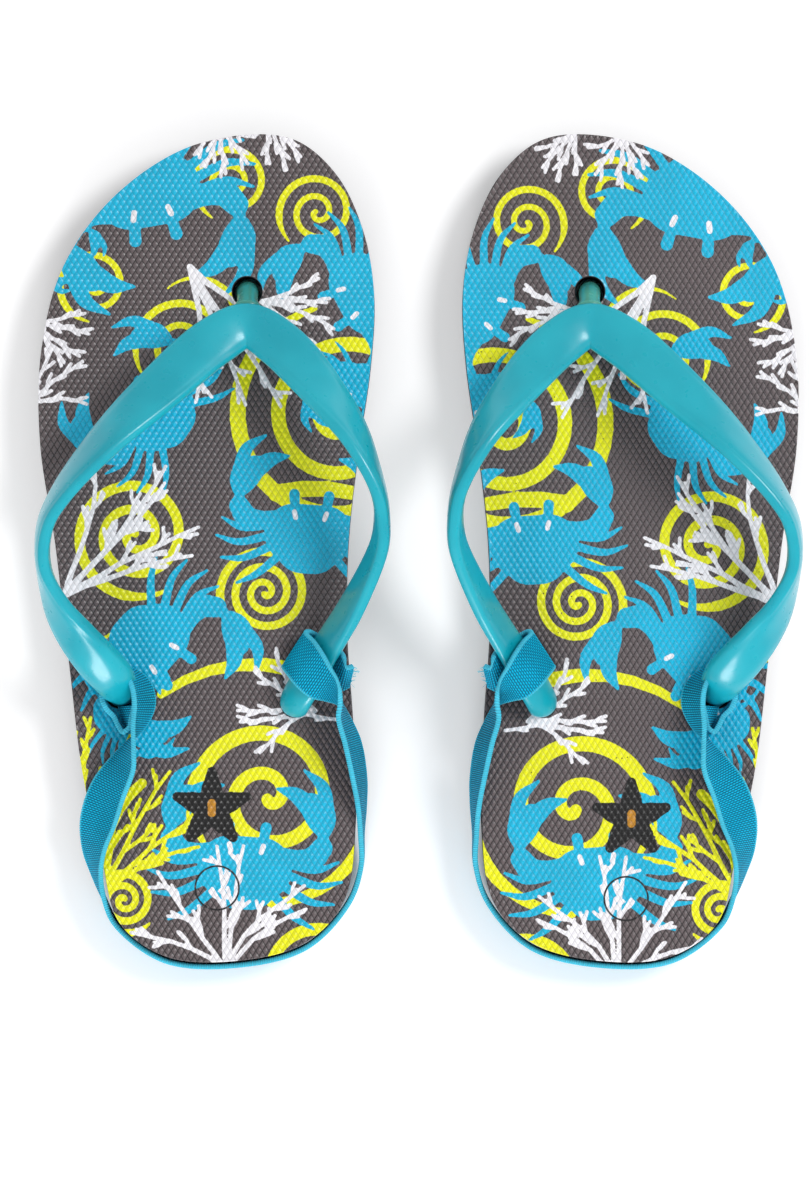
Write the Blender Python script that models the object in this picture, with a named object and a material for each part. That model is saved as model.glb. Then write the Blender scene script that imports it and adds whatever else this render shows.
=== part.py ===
"""A pair of children's flip flops with elastic heel straps.

The left sandal is described below and the right one is its mirror image in the plane x = 0. Each is
a two-layer foam sole, a moulded V strap with a toe post, three plugs that hold the strap under the
sole, and a woven elastic that is looped round both rear legs of the strap and lies round the heel.
Lengths are in millimetres and angles in degrees until a mesh is made; +Y points to the toes, +Z up.
"""

import math

import bmesh
import bpy
import numpy as np
from mathutils import Vector

MILLIMETRE = 0.001
GAP = 0.3  # clearance between pieces that touch
TO_ORIGIN = (0.0, 0.556, 0.0)  # from the sole's drawing to the middle of the pair, elastics included
UPRIGHT_RUN = 1.0  # a ribbon that moves less than this in plan rises straight up
SHARP_ANGLE = 40  # edges that turn by more are shaded as edges

# Sole
SOLE_THICKNESS = 15.0
FOOTBED_THICKNESS = 5.0
OUTSOLE_THICKNESS = SOLE_THICKNESS - FOOTBED_THICKNESS - GAP
OUTLINE = (  # plan of the left sole, clockwise from the tip of the toe
    (-38.0, 101.0), (-28.5, 98.9), (-19.5, 90.6), (-13.4, 77.5), (-10.8, 62.5), (-11.6, 45.0),
    (-14.6, 24.0), (-17.0, 2.0), (-17.4, -20.0), (-15.9, -43.0), (-15.3, -66.0), (-18.2, -85.5),
    (-28.0, -95.6), (-45.0, -99.8), (-61.5, -98.6), (-72.6, -90.5), (-77.0, -74.5), (-81.6, -54.0),
    (-84.8, -28.0), (-88.3, 2.0), (-91.9, 26.0), (-91.6, 48.5), (-86.2, 69.0), (-74.0, 85.8),
    (-56.5, 97.6),
)
HEEL_POINTS = range(15, 10, -1)  # the outline's points round the heel, from lateral to medial
HOLES = {"toe": (-41.6, 62.8), "medial": (-30.2, -37.4), "lateral": (-72.6, -35.2)}
HOLE_RADII = {"toe": 3.8, "medial": 3.4, "lateral": 3.4}
OUTLINE_STATIONS = 3  # in each span between two points of the outline
ROUND_SIDES = 24  # of a hole, pocket or plug
DRILL_OVERRUN = 1.0  # how far a drill starts outside the foam
STEM_DIAMETER = 5.4

# Plugs, each in a pocket under the sole
PLUG_RADIUS = 8.6
PLUG_THICKNESS = 2.8
PLUG_FLOOR = 0.5  # height of a plug's underside
PLUG_RIM = 0.6  # bevel of its edges
POCKET_RADIUS = PLUG_RADIUS + 0.5
POCKET_DEPTH = PLUG_FLOOR + PLUG_THICKNESS + GAP
STEM_FOOT = POCKET_DEPTH + GAP / 2

# V strap: x, y, z of its middle, width, thickness, roll of its outer face away from straight up
LATERAL_LEG = (
    (-72.6, -35.2, STEM_FOOT, STEM_DIAMETER, STEM_DIAMETER, 15),
    (-72.6, -35.2, 15.0, STEM_DIAMETER, STEM_DIAMETER, 15),
    (-72.9, -34.4, 20.2, 7.8, 5.4, 22),
    (-74.5, -30.8, 25.4, 9.3, 4.2, 36),
    (-78.2, -26.3, 28.6, 10.0, 3.6, 47),
    (-82.6, -20.7, 31.0, 10.3, 3.5, 57),
    (-87.0, -13.4, 33.4, 10.6, 3.5, 72),
    (-89.8, -3.3, 36.2, 10.9, 3.5, 87),
    (-89.2, 6.0, 38.4, 11.2, 3.5, 80),
    (-85.6, 13.1, 39.6, 11.4, 3.5, 70),
    (-75.7, 25.2, 39.6, 11.8, 3.5, 52),
    (-62.0, 38.7, 35.2, 12.2, 3.6, 24),
    (-49.0, 50.3, 28.2, 12.2, 3.9, 8),
)
APEX = (-41.3, 54.0, 25.6, 11.0, 4.2, 10)
MEDIAL_LEG = (
    (-33.8, 49.8, 28.0, 11.8, 3.9, 10),
    (-22.6, 37.5, 35.0, 12.0, 3.6, 40),
    (-14.5, 25.7, 39.2, 11.6, 3.5, 64),
    (-9.7, 13.8, 38.6, 11.2, 3.5, 86),
    (-8.9, 7.0, 37.2, 11.0, 3.5, 94),
    (-9.6, 0.6, 35.2, 10.8, 3.5, 103),
    (-15.8, -13.1, 29.8, 10.5, 3.5, 116),
    (-22.0, -23.3, 25.2, 10.2, 3.5, 126),
    (-26.0, -30.0, 22.6, 9.8, 3.6, 134),
    (-29.4, -36.0, 18.8, 7.6, 5.2, 138),
    (-30.2, -37.4, 15.0, STEM_DIAMETER, STEM_DIAMETER, 140),
    (-30.2, -37.4, STEM_FOOT, STEM_DIAMETER, STEM_DIAMETER, 140),
)
STATIONS = 2  # in each span between two points of a strap or tape
STRAP_SIDES = 12
STRAP_SQUARENESS = 3.2  # ROUND would be an ellipse
ROUND = 2.0

# Toe post: x, y, z, width, thickness, roll; it leans back from its hole to the strap's apex
TOE_POST = (
    (-41.6, 62.8, STEM_FOOT, 5.6, 5.6, 0),
    (-41.6, 62.8, 11.0, 5.6, 5.6, 0),
    (-41.5, 62.0, 16.0, 5.2, 5.2, 0),
    (-41.4, 59.4, 20.4, 5.2, 5.2, 0),
    (-41.4, 58.2, 22.3, 5.6, 5.2, 0),
)
POST_SIDES = 12

# Elastic: a woven tape, dropped round the heel
TAPE_WIDTH = 12.0
TAPE_THICKNESS = 1.2
TAPE_SIDES = 8
TAPE_SQUARENESS = 8.0
HEEL_CLEARANCE = 0.9  # between the tape and the side of the heel
HEEL_HEIGHT = 7.0  # of the tape's middle, round the heel
LATERAL_PIVOT = Vector((-69.9, -47.8, 21.8))
MEDIAL_PIVOT = Vector((-18.4, -40.0, 21.8))
HINGE_CENTRE = (LATERAL_PIVOT + MEDIAL_PIVOT) / 2
LATERAL_RUN = (  # x, y, z of the tape's middle, and its roll: -90 stands on edge, 0 lies flat
    (-71.4, -51.5, 21.5, -58),
    (-75.0, -58.0, 20.6, -42),
    (-77.5, -65.3, 17.9, -41),
    (-78.7, -72.2, 15.0, -60),
    (-78.3, -78.5, 11.0, -77),
    (-76.6, -85.0, 8.0, -87),
)
MEDIAL_RUN = (
    (-14.0, -77.0, 7.8, -90),
    (-13.9, -69.0, 9.8, -88),
    (-13.9, -62.0, 13.0, -82),
    (-14.5, -55.0, 16.9, -75),
    (-16.1, -46.5, 20.8, -73),
)
END_STEPS = (0.0, 0.5, 0.8, 0.96)  # stations of a rounded tape end, as parts of its radius

# Loops of the same tape round the two legs
MEDIAL_LOOP_MIDDLE = Vector((-24.6, -27.6, 23.4))  # on the medial leg
LOOP_STATIONS = 5  # in each span of the leg inside the loop
LOOP_SLACK = 0.5  # between the tape and the leg
SEAM_TAB = (  # the two layers of tape, stitched together beside the medial leg
    (-21.6, -30.7, 23.4, 8.6, 2.6, -84),
    (-19.0, -31.2, 22.4, 9.0, 2.6, -84),
    (-16.2, -30.4, 21.8, 8.0, 1.8, -84),
)
LOOP_FOOT = ((-71.1, -35.5), 6.9, 6.6)  # lateral loop at the sole: centre, half width, half length
LOOP_RIM = ((-72.6, -35.2), 6.0, 6.5)  # and at its upper edge
LOOP_FOOT_HEIGHT = SOLE_THICKNESS + 0.6
LOOP_RIM_HEIGHT = 20.8
LOOP_RIM_TILT = 1.4  # the upper edge rises this much to the medial side
LOOP_SIDES = 24

# Bar tacks: the lower and upper end of each line of stitching, and the way its face looks
BAR_TACK_WIDTH = 1.8
BAR_TACK_THICKNESS = 0.7
BAR_TACKS = {
    "medial": ((-18.2, -33.2, 19.0), (-18.3, -33.2, 25.2), (0.0, -1.0)),
    "lateral": ((-66.2, -40.8, 16.6), (-67.6, -40.8, 20.2), (0.59, -0.81)),
}

SURFACES = {  # colour, roughness
    "footbed": ((0.12, 0.10, 0.10), 0.75),
    "outsole": ((0.03, 0.03, 0.032), 0.85),
    "strap": ((0.05, 0.50, 0.60), 0.35),
    "post": ((0.04, 0.38, 0.36), 0.30),
    "plug": ((0.04, 0.42, 0.50), 0.45),
    "elastic": ((0.0, 0.35, 0.60), 0.85),
    "thread": ((0.10, 0.55, 0.75), 0.70),
}


def smooth_curve(points, per_span, closed=False, axes=3):
    """Points on a centripetal Catmull-Rom curve through the given ones; the first axes set its pace."""
    given = np.array(points, float)
    if closed:
        padded = np.concatenate([given[-1:], given, given[:2]])
    else:
        padded = np.concatenate([[2 * given[0] - given[1]], given, [2 * given[-1] - given[-2]]])
    curve = []
    for p0, p1, p2, p3 in zip(padded, padded[1:], padded[2:], padded[3:]):
        knots = [0.0]
        for a, b in ((p0, p1), (p1, p2), (p2, p3)):
            knots.append(knots[-1] + math.sqrt(np.linalg.norm((b - a)[:axes])))
        for step in range(per_span):
            t = knots[1] + (knots[2] - knots[1]) * step / per_span
            row = [p0, p1, p2, p3]
            for level in (1, 2, 3):
                row = [
                    blended(row[i], row[i + 1], t, *reach(knots, i, level)) for i in range(4 - level)
                ]
            curve.append(row[0])
    if not closed:
        curve.append(given[-1])
    return curve


def reach(knots, i, level):
    """The knots between which the curve's recursion mixes its i-th pair of points."""
    if level == 1:
        return knots[i], knots[i + 1]
    if level == 2:
        return knots[i], knots[i + 2]
    return knots[1], knots[2]


def blended(a, b, t, start, end):
    return a * (end - t) / (end - start) + b * (t - start) / (end - start)


def sole_outline():
    curve = smooth_curve(OUTLINE, OUTLINE_STATIONS, closed=True, axes=2)
    return [Vector((*p, 0.0)) for p in curve]


def outline_normal(i):
    """The outward direction of the sole's edge at one of its points."""
    before = Vector(OUTLINE[i - 1])
    after = Vector(OUTLINE[(i + 1) % len(OUTLINE)])
    along = (after - before).normalized()
    return Vector((-along.y, along.x))


def across_directions(stations):
    """Each station's width direction: level and to the left of the path, then rolled."""
    headings = []
    for i in range(len(stations)):
        before = stations[max(i - 1, 0)]
        after = stations[min(i + 1, len(stations) - 1)]
        run = Vector((after[0] - before[0], after[1] - before[1]))
        headings.append(run.normalized() if run.length > UPRIGHT_RUN else None)
    for order in (range(1, len(headings)), range(len(headings) - 2, -1, -1)):
        for i in order:
            step = order.step
            headings[i] = headings[i] or headings[i - step]
    found = []
    for heading, station in zip(headings, stations):
        roll = math.radians(station[5])
        level = Vector((-heading.y, heading.x, 0.0))
        found.append(level * math.cos(roll) - Vector((0.0, 0.0, math.sin(roll))))
    return found


def ribbon_frames(stations, per_span):
    """Centre, width direction, face normal, width and thickness along a twisting ribbon."""
    across = across_directions(stations)
    rows = [(*s[:5], *a) for s, a in zip(stations, across)]
    curve = smooth_curve(rows, per_span) if per_span > 1 else [np.array(r) for r in rows]
    frames = []
    for i, row in enumerate(curve):
        centre = Vector(row[:3])
        ahead = Vector(curve[min(i + 1, len(curve) - 1)][:3])
        behind = Vector(curve[max(i - 1, 0)][:3])
        along = (ahead - behind).normalized()
        side = Vector(row[5:8])
        side = (side - along * side.dot(along)).normalized()
        frames.append((centre, side, along.cross(side), row[3], row[4]))
    return frames


def rounded_ring(frame, sides, squareness, swell=0.0):
    """One cross-section of a ribbon: a rounded rectangle, swollen outwards by a clearance."""
    centre, side, face, width, thickness = frame
    ring = []
    for i in range(sides):
        angle = 2 * math.pi * (i + 0.5) / sides
        c = math.cos(angle)
        s = math.sin(angle)
        u = math.copysign(abs(c) ** (2 / squareness), c) * (width / 2 + swell)
        v = math.copysign(abs(s) ** (2 / squareness), s) * (thickness / 2 + swell)
        ring.append(centre + side * u + face * v)
    return ring


def tape_ring(frame):
    """One cross-section of the woven tape: flat, with its corners just taken off."""
    return rounded_ring(frame, TAPE_SIDES, TAPE_SQUARENESS)


def skin(rings, closed=False):
    """Vertices and faces of a tube through the rings; its ends are capped unless it closes on itself."""
    count = len(rings[0])
    points = [p for ring in rings for p in ring]
    faces = []
    for j in range(len(rings) if closed else len(rings) - 1):
        here = j * count
        there = (j + 1) % len(rings) * count
        for i in range(count):
            k = (i + 1) % count
            faces.append((here + i, here + k, there + k, there + i))
    if not closed:
        faces.append(tuple(range(count))[::-1])
        faces.append(tuple(range(len(points) - count, len(points))))
    return points, faces


def make_mesh(name, points, faces, mirrored, origin):
    """A mesh in metres, measured from its origin, with its faces pointing out."""
    flip = -1.0 if mirrored else 1.0
    mesh = bpy.data.meshes.new(name)
    mesh.from_pydata(
        [((p[0] - origin[0]) * flip * MILLIMETRE, (p[1] - origin[1]) * MILLIMETRE,
          (p[2] - origin[2]) * MILLIMETRE) for p in points],
        [],
        faces,
    )
    shape = bmesh.new()
    shape.from_mesh(mesh)
    bmesh.ops.recalc_face_normals(shape, faces=shape.faces)
    shape.to_mesh(mesh)
    shape.free()
    return mesh


class Sandal:
    """Places one sandal's pieces, for the left foot or mirrored for the right."""

    def __init__(self, side, materials):
        self.side = side
        self.mirrored = side == "right"
        self.materials = materials
        self.body = self.holder("sandal", TO_ORIGIN, None)
        self.hinge = self.holder("heel_strap_hinge", HINGE_CENTRE, self.body)

    def holder(self, name, point, parent):
        """An empty that carries pieces: the sandal itself, or its heel strap's hinge."""
        empty = bpy.data.objects.new(f"{self.side}_{name}", None)
        bpy.context.collection.objects.link(empty)
        empty.parent = parent
        flip = -1.0 if self.mirrored else 1.0
        empty.location = Vector((point[0] * flip, point[1], point[2])) * MILLIMETRE
        return empty

    def piece(self, name, surface, points, faces, on_hinge=False):
        """A named solid on the sandal, or on its heel strap's hinge."""
        full_name = f"{self.side}_{name}"
        pivot = HINGE_CENTRE if on_hinge else Vector()
        mesh = make_mesh(full_name, points, faces, self.mirrored, pivot)
        mesh.materials.append(self.materials[surface])
        mesh.shade_smooth()
        mesh.set_sharp_from_angle(angle=math.radians(SHARP_ANGLE))
        obj = bpy.data.objects.new(full_name, mesh)
        bpy.context.collection.objects.link(obj)
        obj.parent = self.hinge if on_hinge else self.body
        return obj

    def combine(self, obj, operation, points, faces):
        """Cuts a shape out of a piece, or joins it on."""
        tool = self.piece(f"tool_{len(bpy.data.objects)}", "plug", points, faces)
        tool.hide_render = True
        tool.display_type = "WIRE"
        boolean = obj.modifiers.new(operation.lower(), "BOOLEAN")
        boolean.operation = operation
        boolean.solver = "EXACT"
        boolean.object = tool


def cylinder(centre, radius, low, high):
    angles = [2 * math.pi * i / ROUND_SIDES for i in range(ROUND_SIDES)]
    plan = [(centre[0] + radius * math.cos(a), centre[1] + radius * math.sin(a)) for a in angles]
    return skin([[Vector((*p, height)) for p in plan] for height in (low, high)])


def extruded(outline, low, high):
    rings = [[Vector((p.x, p.y, height)) for p in outline] for height in (low, high)]
    return skin(rings)


def add_sole(sandal):
    """Two foam layers, drilled for the strap; the lower one has a pocket for each plug."""
    outline = sole_outline()
    outsole = sandal.piece("outsole", "outsole", *extruded(outline, 0.0, OUTSOLE_THICKNESS))
    top_layer = extruded(outline, SOLE_THICKNESS - FOOTBED_THICKNESS, SOLE_THICKNESS)
    footbed = sandal.piece("footbed", "footbed", *top_layer)
    for name, centre in HOLES.items():
        drill = cylinder(centre, HOLE_RADII[name], -DRILL_OVERRUN, SOLE_THICKNESS + DRILL_OVERRUN)
        sandal.combine(outsole, "DIFFERENCE", *drill)
        sandal.combine(footbed, "DIFFERENCE", *drill)
        pocket = cylinder(centre, POCKET_RADIUS, -DRILL_OVERRUN, POCKET_DEPTH)
        sandal.combine(outsole, "DIFFERENCE", *pocket)


def add_plugs(sandal):
    for name, centre in HOLES.items():
        disc = cylinder(centre, PLUG_RADIUS, PLUG_FLOOR, PLUG_FLOOR + PLUG_THICKNESS)
        plug = sandal.piece(f"{name}_plug", "plug", *disc)
        bevel = plug.modifiers.new("rim", "BEVEL")
        bevel.width = PLUG_RIM * MILLIMETRE
        bevel.segments = 1
        bevel.limit_method = "ANGLE"


def add_strap(sandal):
    """The V strap, from the lateral stem over the apex to the medial stem, and its toe post."""
    frames = ribbon_frames((*LATERAL_LEG, APEX, *MEDIAL_LEG), STATIONS)
    rings = [rounded_ring(f, STRAP_SIDES, STRAP_SQUARENESS) for f in frames]
    sandal.piece("thong_strap", "strap", *skin(rings))
    frames = ribbon_frames(TOE_POST, STATIONS)
    rings = [rounded_ring(f, POST_SIDES, ROUND) for f in frames]
    sandal.piece("toe_post", "post", *skin(rings))


def heel_stations():
    """The tape's path from its lateral pivot round the heel to its medial pivot."""
    tape = (TAPE_WIDTH, TAPE_THICKNESS)
    stations = [(*LATERAL_PIVOT, *tape, -76)]
    stations += [(*s[:3], *tape, s[3]) for s in LATERAL_RUN]
    offset = HEEL_CLEARANCE + TAPE_THICKNESS / 2
    for i in HEEL_POINTS:
        point = Vector(OUTLINE[i]) + outline_normal(i) * offset
        stations.append((*point, HEEL_HEIGHT, *tape, -90))
    stations += [(*s[:3], *tape, s[3]) for s in MEDIAL_RUN]
    stations.append((*MEDIAL_PIVOT, *tape, -80))
    return stations


def rounded_end(frame, outward):
    """Stations of a half-round tape end, centred on the pivot in the tape's own plane."""
    centre, side, face, width, thickness = frame
    radius = width / 2
    return [
        (centre + outward * (radius * part), side, face, width * math.sqrt(1 - part * part), thickness)
        for part in END_STEPS
    ]


def add_heel_band(sandal):
    frames = ribbon_frames(heel_stations(), STATIONS)
    start = (frames[0][0] - frames[1][0]).normalized()
    finish = (frames[-1][0] - frames[-2][0]).normalized()
    frames = [
        *reversed(rounded_end(frames[0], start)),
        *frames[1:-1],
        *rounded_end(frames[-1], finish),
    ]
    sandal.piece("heel_band", "elastic", *skin([tape_ring(f) for f in frames]), on_hinge=True)


def sleeve(frames, sides, squareness):
    """A loop of tape round a ribbon, clear of it by the gap, as one tube that closes on itself."""
    inner = [rounded_ring(f, sides, squareness, LOOP_SLACK) for f in frames]
    outer = [rounded_ring(f, sides, squareness, LOOP_SLACK + TAPE_THICKNESS) for f in frames]
    return skin([*outer, *reversed(inner)], closed=True)


def add_medial_loop(sandal):
    """The tape wrapped round the medial leg, with its stitched ends standing out beside it."""
    leg = ribbon_frames(MEDIAL_LEG, LOOP_STATIONS)
    frames = [f for f in leg if (f[0] - MEDIAL_LOOP_MIDDLE).length <= TAPE_WIDTH / 2]
    loop = sandal.piece("medial_loop", "elastic", *sleeve(frames, STRAP_SIDES, STRAP_SQUARENESS))
    tab = skin([tape_ring(f) for f in ribbon_frames(SEAM_TAB, 1)])
    sandal.combine(loop, "UNION", *tab)


def oval(centre, half_width, half_length, inset, height, tilt=0.0):
    ring = []
    for i in range(LOOP_SIDES):
        angle = 2 * math.pi * i / LOOP_SIDES
        x = centre[0] + (half_width - inset) * math.cos(angle)
        y = centre[1] + (half_length - inset) * math.sin(angle)
        ring.append(Vector((x, y, height + tilt * math.cos(angle))))
    return ring


def add_lateral_loop(sandal):
    """The tape round the lateral stem: a standing ring whose foot spreads on the sole."""
    rings = []
    for inset in (0.0, TAPE_THICKNESS):
        foot = oval(*LOOP_FOOT, inset, LOOP_FOOT_HEIGHT)
        rim = oval(*LOOP_RIM, inset, LOOP_RIM_HEIGHT, LOOP_RIM_TILT)
        rings += [rim, foot] if inset else [foot, rim]
    sandal.piece("lateral_loop", "elastic", *skin(rings, closed=True))


def add_bar_tacks(sandal):
    for name, (low, high, face) in BAR_TACKS.items():
        side = Vector((-face[1], face[0], 0.0))
        size = (BAR_TACK_WIDTH, BAR_TACK_THICKNESS)
        frames = [(Vector(end), side, Vector((*face, 0.0)), *size) for end in (low, high)]
        sandal.piece(f"{name}_bar_tack", "thread", *skin([tape_ring(f) for f in frames]))


def make_materials():
    materials = {}
    for name, (colour, roughness) in SURFACES.items():
        material = bpy.data.materials.new(name)
        material.use_nodes = True
        shader = material.node_tree.nodes["Principled BSDF"]
        shader.inputs["Base Color"].default_value = (*colour, 1.0)
        shader.inputs["Roughness"].default_value = roughness
        shader.inputs["Metallic"].default_value = 0.0
        materials[name] = material
    return materials


def main():
    for obj in list(bpy.data.objects):
        bpy.data.objects.remove(obj)
    materials = make_materials()
    for side in ("left", "right"):
        sandal = Sandal(side, materials)
        add_sole(sandal)
        add_plugs(sandal)
        add_strap(sandal)
        add_heel_band(sandal)
        add_medial_loop(sandal)
        add_lateral_loop(sandal)
        add_bar_tacks(sandal)


main()
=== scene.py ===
"""The looks of a pair of children's flip flops with elastic heel straps.

Shapes are drawn for the left sandal, in millimetres and degrees, +Y to the toes and +Z up, in the same
drawing as the CAD; `place` turns them into world positions, mirrored for the right sandal.
"""

import math
import random

import bmesh
import bpy
import numpy as np
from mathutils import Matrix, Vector
from mathutils.geometry import delaunay_2d_cdt


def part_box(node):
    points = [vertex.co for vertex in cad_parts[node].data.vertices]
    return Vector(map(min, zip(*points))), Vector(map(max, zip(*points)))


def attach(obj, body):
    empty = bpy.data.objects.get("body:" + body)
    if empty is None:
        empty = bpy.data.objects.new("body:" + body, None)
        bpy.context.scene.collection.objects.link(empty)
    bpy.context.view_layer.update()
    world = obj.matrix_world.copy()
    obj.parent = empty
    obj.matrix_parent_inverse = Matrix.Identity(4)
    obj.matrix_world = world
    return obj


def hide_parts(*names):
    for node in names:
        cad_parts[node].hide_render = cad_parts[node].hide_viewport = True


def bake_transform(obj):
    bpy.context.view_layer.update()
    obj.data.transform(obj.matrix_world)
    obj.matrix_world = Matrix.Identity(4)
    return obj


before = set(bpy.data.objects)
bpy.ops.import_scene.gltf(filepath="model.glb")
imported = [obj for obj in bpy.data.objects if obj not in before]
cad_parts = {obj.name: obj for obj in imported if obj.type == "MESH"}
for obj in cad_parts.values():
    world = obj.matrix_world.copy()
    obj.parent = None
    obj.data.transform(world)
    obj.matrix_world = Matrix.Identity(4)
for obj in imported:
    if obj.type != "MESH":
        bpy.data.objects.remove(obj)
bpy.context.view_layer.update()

MM = 0.001
BIG_TOE_SIDE = {"left": 1.0, "right": -1.0}

# Sole, as in the CAD
OUTLINE = (
    (-38.0, 101.0), (-28.5, 98.9), (-19.5, 90.6), (-13.4, 77.5), (-10.8, 62.5), (-11.6, 45.0),
    (-14.6, 24.0), (-17.0, 2.0), (-17.4, -20.0), (-15.9, -43.0), (-15.3, -66.0), (-18.2, -85.5),
    (-28.0, -95.6), (-45.0, -99.8), (-61.5, -98.6), (-72.6, -90.5), (-77.0, -74.5), (-81.6, -54.0),
    (-84.8, -28.0), (-88.3, 2.0), (-91.9, 26.0), (-91.6, 48.5), (-86.2, 69.0), (-74.0, 85.8),
    (-56.5, 97.6),
)
CAD_OUTLINE_STEPS = 3
OUTLINE_STEPS = 18
HEEL_POINTS = range(15, 10, -1)
HOLES = {"toe": (-41.6, 62.8), "medial": (-30.2, -37.4), "lateral": (-72.6, -35.2)}
HOLE_RADII = {"toe": 3.6, "medial": 3.12, "lateral": 3.12}
PLUG_RADIUS = 8.6
POCKET_RADIUS = 9.1
POCKET_DEPTH = 3.6
SOLE_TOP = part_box("left_footbed")[1].z / MM
FOOTBED_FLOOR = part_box("left_footbed")[0].z / MM
OUTSOLE_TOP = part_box("left_outsole")[1].z / MM
STEM_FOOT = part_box("left_toe_post")[0].z / MM
ROUND_STEPS = 48
EDGE = ((0.20, 0.0), (0.06, 0.06), (0.0, 0.20))  # rounding of a foam edge: inset and drop

# Strap, as in the CAD: x, y, z, width, thickness, roll
LATERAL_LEG = (
    (-72.6, -35.2, STEM_FOOT, 5.4, 5.4, 15),
    (-72.6, -35.2, 14.8, 5.4, 5.4, 15),
    (-72.3, -35.0, 16.4, 6.6, 5.4, 18),
    (-72.5, -33.8, 20.0, 8.8, 6.0, 16),
    (-74.2, -30.4, 25.0, 10.8, 6.0, 20),
    (-77.8, -26.2, 28.3, 11.2, 5.6, 28),
    (-82.2, -20.7, 30.8, 10.9, 4.8, 42),
    (-86.7, -13.4, 33.4, 10.7, 3.9, 64),
    (-89.8, -3.3, 36.2, 10.9, 3.5, 87),
    (-89.2, 6.0, 38.4, 11.2, 3.5, 80),
    (-85.6, 13.1, 39.6, 11.4, 3.5, 70),
    (-75.7, 25.2, 39.6, 11.8, 3.5, 52),
    (-62.0, 38.7, 35.2, 12.2, 3.6, 24),
    (-49.0, 50.3, 28.2, 12.2, 3.9, 8),
)
APEX = (-41.3, 54.0, 25.6, 11.0, 4.2, 10)
MEDIAL_LEG = (
    (-33.8, 49.8, 28.0, 11.8, 3.9, 10),
    (-22.6, 37.5, 35.0, 12.0, 3.6, 40),
    (-14.5, 25.7, 39.2, 11.6, 3.5, 64),
    (-9.7, 13.8, 38.6, 11.2, 3.5, 86),
    (-8.9, 7.0, 37.2, 11.0, 3.5, 94),
    (-9.6, 0.6, 35.2, 10.8, 3.5, 103),
    (-15.8, -13.1, 29.8, 10.5, 3.5, 116),
    (-22.0, -23.3, 25.2, 10.2, 3.5, 126),
    (-26.0, -30.0, 22.6, 9.8, 3.8, 134),
    (-29.2, -35.4, 19.0, 8.8, 5.4, 138),
    (-30.2, -37.4, 16.4, 7.4, 6.0, 140),
    (-30.2, -37.4, 14.8, 5.4, 5.4, 140),
    (-30.2, -37.4, STEM_FOOT, 5.4, 5.4, 140),
)
STRAP_STEPS = 9
STRAP_SIDES = 44
STRAP_SQUARENESS = 3.2
ROUND_END = (16.0, 42.0)  # heights between which a leg's section turns from oval into flatter
TOE_POST = (
    (-41.6, 62.8, STEM_FOOT, 5.6, 5.6, 0),
    (-41.6, 62.8, 11.0, 5.6, 5.6, 0),
    (-41.5, 62.0, 16.0, 5.2, 5.2, 0),
    (-41.4, 59.4, 20.4, 5.3, 5.2, 0),
    (-41.4, 57.6, 23.2, 7.6, 6.0, 0),
)
POST_SIDES = 32
UPRIGHT_RUN = 1.0
ROUND = 2.0  # the squareness of an oval

# Elastic tape, as in the CAD: x, y, z, roll
TAPE_WIDTH = 12.0
TAPE_THICKNESS = 1.2
HEEL_CLEARANCE = 0.6
HEEL_HEIGHT = 7.0
LATERAL_PIVOT = (-69.9, -47.8, 21.8)
MEDIAL_PIVOT = (-18.4, -40.0, 21.8)
LATERAL_RUN = (
    (-71.4, -51.5, 21.5, -58),
    (-75.0, -58.0, 20.6, -42),
    (-77.5, -65.3, 17.9, -41),
    (-78.7, -72.2, 15.0, -60),
    (-78.3, -78.5, 11.0, -77),
    (-76.6, -85.0, 8.0, -87),
)
MEDIAL_RUN = (
    (-14.0, -77.0, 7.8, -90),
    (-13.9, -69.0, 9.8, -88),
    (-13.9, -62.0, 13.0, -82),
    (-14.5, -55.0, 16.9, -75),
    (-16.1, -46.5, 20.8, -73),
)

# The tape's looped ends, from the tail to the pivot: middle, direction across it, width
LATERAL_LOOP = (
    ((-70.6, -37.8, 18.9), (0.54, 0.05, 0.84), 7.0),
    ((-70.5, -40.6, 18.8), (0.36, 0.05, 0.93), 6.8),
    ((-70.3, -43.0, 18.5), (0.10, 0.0, 0.99), 6.2),
    ((-71.2, -44.0, 18.2), (-0.10, 0.0, 0.99), 5.6),
    ((-72.6, -42.6, 17.8), (0.0, 0.0, 0.99), 4.8),
    ((-73.9, -40.2, 17.5), (0.05, -0.05, 0.99), 4.0),
    ((-75.8, -38.2, 17.4), (0.10, -0.10, 0.98), 3.8),
    ((-77.0, -35.2, 17.4), (0.16, -0.10, 0.98), 3.8),
    ((-76.2, -31.8, 17.8), (0.16, -0.16, 0.97), 4.6),
    ((-73.0, -29.4, 18.8), (0.0, -0.20, 0.98), 6.6),
    ((-69.6, -30.0, 20.2), (-0.18, -0.16, 0.97), 9.6),
    ((-67.2, -32.8, 20.9), (-0.34, -0.10, 0.93), 11.4),
    ((-66.4, -37.2, 21.0), (-0.38, 0.0, 0.92), 12.0),
    ((-67.6, -42.2, 21.4), (-0.22, 0.04, 0.97), 12.0),
)
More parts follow.
